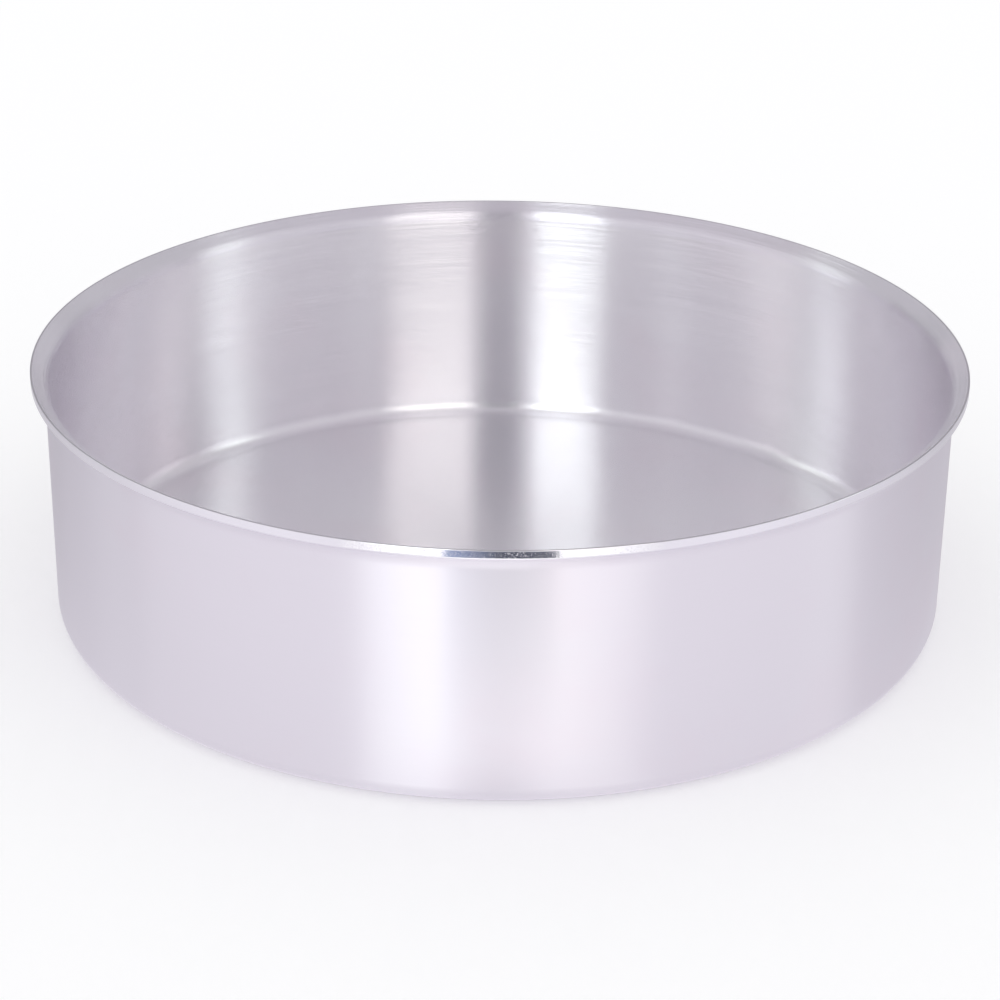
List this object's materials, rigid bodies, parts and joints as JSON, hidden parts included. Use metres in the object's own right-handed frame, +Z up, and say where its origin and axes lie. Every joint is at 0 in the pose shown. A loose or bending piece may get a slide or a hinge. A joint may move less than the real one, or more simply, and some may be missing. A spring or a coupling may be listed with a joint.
{
  "type": "cake tin",
  "caption": "Deep round cake tin in spun aluminium: flat floor, rounded base edge, straight wall and a flared rim with its edge folded under into a narrow lip.",
  "frame": {"origin": "centre of the flat underside, on the tin's axis", "axes": "+Z up along the tin's axis, from the underside to the open mouth; X and Y are any two square directions across it"},
  "size_m": [0.264, 0.264, 0.074],
  "materials": {
    "aluminium": "brushed satin inside, finely polished outside, bright polished lip"
  },
  "bodies": {
    "root": {"tin_body": "aluminium"}
  },
  "joints": []
}
